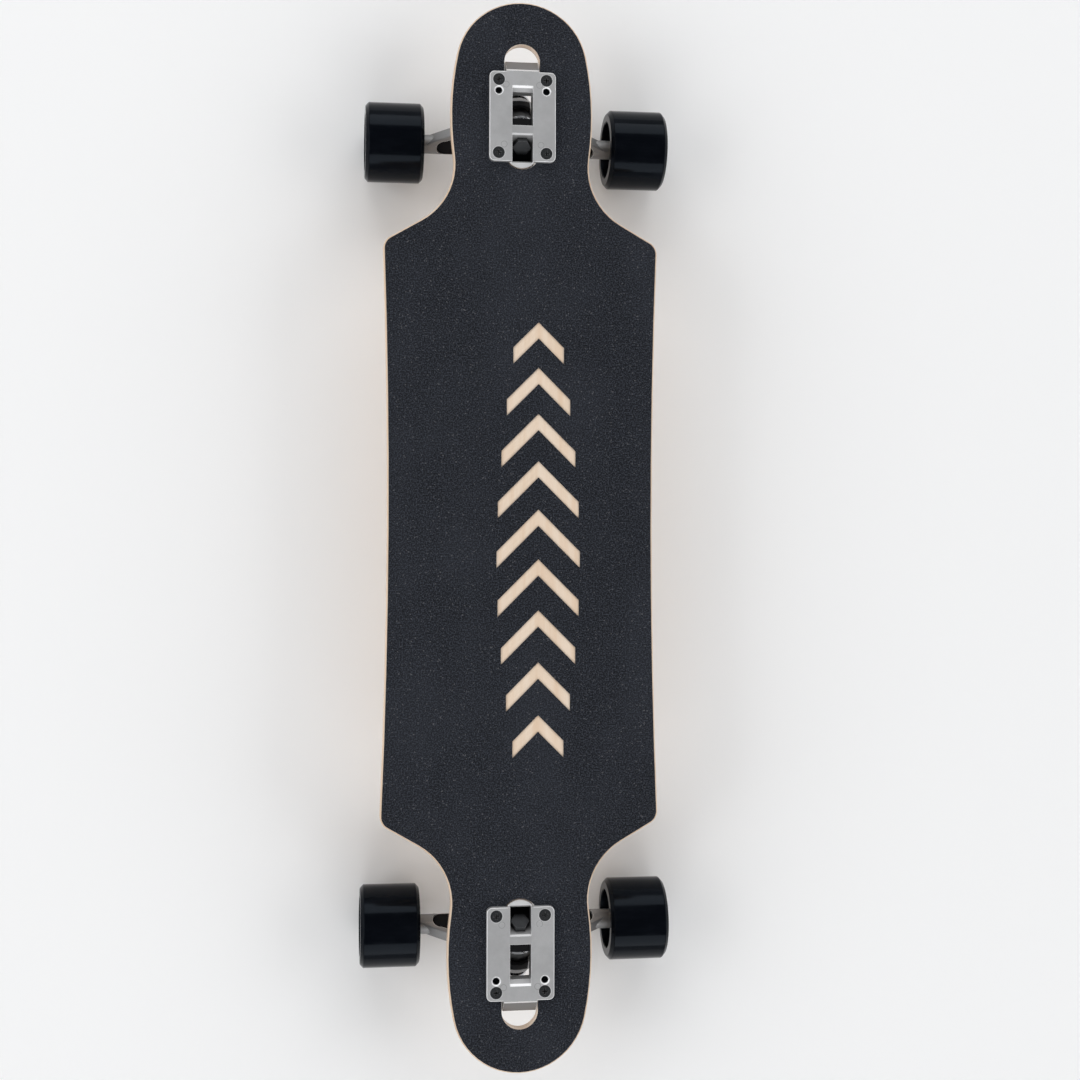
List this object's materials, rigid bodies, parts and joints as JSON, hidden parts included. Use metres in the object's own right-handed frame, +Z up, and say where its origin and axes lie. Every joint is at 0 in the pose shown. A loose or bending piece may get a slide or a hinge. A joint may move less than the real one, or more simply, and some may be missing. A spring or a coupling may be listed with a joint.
{
  "type": "drop-through longboard",
  "caption": "Cut-away longboard with grip tape and a cut-out chevron pattern, drop-through reverse-kingpin trucks and wide smooth wheels on ball bearings.",
  "frame": {"origin": "middle of the board on the ground, under the four wheels", "axes": "+Y to the nose, +X to the right seen from above with the nose ahead, +Z up"},
  "size_m": [0.267, 0.914, 0.095],
  "materials": {
    "maple": "clear-lacquered maple plies, rounded edge",
    "grip": "black grit tape, coarse mineral grains in resin",
    "cast_aluminium": "raw cast aluminium, lightly tumbled",
    "cup_rubber": "black moulded pivot cup",
    "black_steel": "black oxide steel",
    "zinc_steel": "bright zinc-plated steel",
    "bushing_urethane": "black cast urethane",
    "wheel_urethane": "glossy black cast urethane",
    "core_plastic": "black glass-filled nylon core",
    "bearing_steel": "ground bearing steel",
    "shield_rubber": "black bearing seal",
    "spacer_aluminium": "turned aluminium",
    "cage_plastic": "natural nylon ball cage"
  },
  "bodies": {
    "board": {"deck": "maple", "grip_tape": "grip", "front_baseplate": "cast_aluminium", "front_pivot_cup": "cup_rubber", "front_kingpin": "black_steel", "front_kingpin_nut": "zinc_steel", "front_bushing_washers": "zinc_steel", "front_boardside_bushing": "bushing_urethane", "front_roadside_bushing": "bushing_urethane", "front_deck_screws": "black_steel", "front_deck_nuts": "black_steel", "rear_baseplate": "cast_aluminium", "rear_pivot_cup": "cup_rubber", "rear_kingpin": "black_steel", "rear_kingpin_nut": "zinc_steel", "rear_bushing_washers": "zinc_steel", "rear_boardside_bushing": "bushing_urethane", "rear_roadside_bushing": "bushing_urethane", "rear_deck_screws": "black_steel", "rear_deck_nuts": "black_steel"},
    "front_truck": {"front_hanger": "cast_aluminium", "front_axle": "zinc_steel", "front_axle_nuts": "zinc_steel", "front_speed_washers": "zinc_steel", "front_left_bearing_inner_rings": "bearing_steel", "front_left_bearing_spacer": "spacer_aluminium", "front_right_bearing_inner_rings": "bearing_steel", "front_right_bearing_spacer": "spacer_aluminium"},
    "front_left_wheel": {"front_left_tyre": "wheel_urethane", "front_left_core": "core_plastic", "front_left_bearing_outer_rings": "bearing_steel", "front_left_bearing_shields": "shield_rubber"},
    "front_left_ball_set": {"front_left_bearing_balls": "bearing_steel", "front_left_bearing_cages": "cage_plastic"},
    "front_right_wheel": {"front_right_tyre": "wheel_urethane", "front_right_core": "core_plastic", "front_right_bearing_outer_rings": "bearing_steel", "front_right_bearing_shields": "shield_rubber"},
    "front_right_ball_set": {"front_right_bearing_balls": "bearing_steel", "front_right_bearing_cages": "cage_plastic"},
    "rear_truck": {"rear_hanger": "cast_aluminium", "rear_axle": "zinc_steel", "rear_axle_nuts": "zinc_steel", "rear_speed_washers": "zinc_steel", "rear_left_bearing_inner_rings": "bearing_steel", "rear_left_bearing_spacer": "spacer_aluminium", "rear_right_bearing_inner_rings": "bearing_steel", "rear_right_bearing_spacer": "spacer_aluminium"},
    "rear_left_wheel": {"rear_left_tyre": "wheel_urethane", "rear_left_core": "core_plastic", "rear_left_bearing_outer_rings": "bearing_steel", "rear_left_bearing_shields": "shield_rubber"},
    "rear_left_ball_set": {"rear_left_bearing_balls": "bearing_steel", "rear_left_bearing_cages": "cage_plastic"},
    "rear_right_wheel": {"rear_right_tyre": "wheel_urethane", "rear_right_core": "core_plastic", "rear_right_bearing_outer_rings": "bearing_steel", "rear_right_bearing_shields": "shield_rubber"},
    "rear_right_ball_set": {"rear_right_bearing_balls": "bearing_steel", "rear_right_bearing_cages": "cage_plastic"}
  },
  "joints": [
    {"name": "front_steer", "type": "hinge", "parent": "board", "child": "front_truck", "pos_m": [0, 0.36441, 0.06028], "axis": [0, 0.6428, 0.766], "range_deg": [-15, 15], "stiffness_Nm_per_rad": 60, "deforming": ["front_boardside_bushing", "front_roadside_bushing"]},
    {"name": "front_left_wheel_spin", "type": "hinge", "parent": "front_truck", "child": "front_left_wheel", "pos_m": [-0.108, 0.3432, 0.035], "axis": [1, 0, 0], "continuous": true},
    {"name": "front_left_ball_orbit", "type": "hinge", "parent": "front_truck", "child": "front_left_ball_set", "pos_m": [-0.103, 0.3432, 0.035], "axis": [1, 0, 0], "continuous": true},
    {"name": "front_right_wheel_spin", "type": "hinge", "parent": "front_truck", "child": "front_right_wheel", "pos_m": [0.108, 0.3432, 0.035], "axis": [1, 0, 0], "continuous": true},
    {"name": "front_right_ball_orbit", "type": "hinge", "parent": "front_truck", "child": "front_right_ball_set", "pos_m": [0.103, 0.3432, 0.035], "axis": [1, 0, 0], "continuous": true},
    {"name": "rear_steer", "type": "hinge", "parent": "board", "child": "rear_truck", "pos_m": [0, -0.36441, 0.06028], "axis": [0, -0.6428, 0.766], "range_deg": [-15, 15], "stiffness_Nm_per_rad": 60, "deforming": ["rear_boardside_bushing", "rear_roadside_bushing"]},
    {"name": "rear_left_wheel_spin", "type": "hinge", "parent": "rear_truck", "child": "rear_left_wheel", "pos_m": [-0.108, -0.3432, 0.035], "axis": [1, 0, 0], "continuous": true},
    {"name": "rear_left_ball_orbit", "type": "hinge", "parent": "rear_truck", "child": "rear_left_ball_set", "pos_m": [-0.103, -0.3432, 0.035], "axis": [1, 0, 0], "continuous": true},
    {"name": "rear_right_wheel_spin", "type": "hinge", "parent": "rear_truck", "child": "rear_right_wheel", "pos_m": [0.108, -0.3432, 0.035], "axis": [1, 0, 0], "continuous": true},
    {"name": "rear_right_ball_orbit", "type": "hinge", "parent": "rear_truck", "child": "rear_right_ball_set", "pos_m": [0.103, -0.3432, 0.035], "axis": [1, 0, 0], "continuous": true}
  ],
  "couplings": [
    {"joint": "front_left_ball_orbit", "follows": "front_left_wheel_spin", "ratio": 0.6323},
    {"joint": "front_right_ball_orbit", "follows": "front_right_wheel_spin", "ratio": 0.6323},
    {"joint": "rear_left_ball_orbit", "follows": "rear_left_wheel_spin", "ratio": 0.6323},
    {"joint": "rear_right_ball_orbit", "follows": "rear_right_wheel_spin", "ratio": 0.6323}
  ]
}
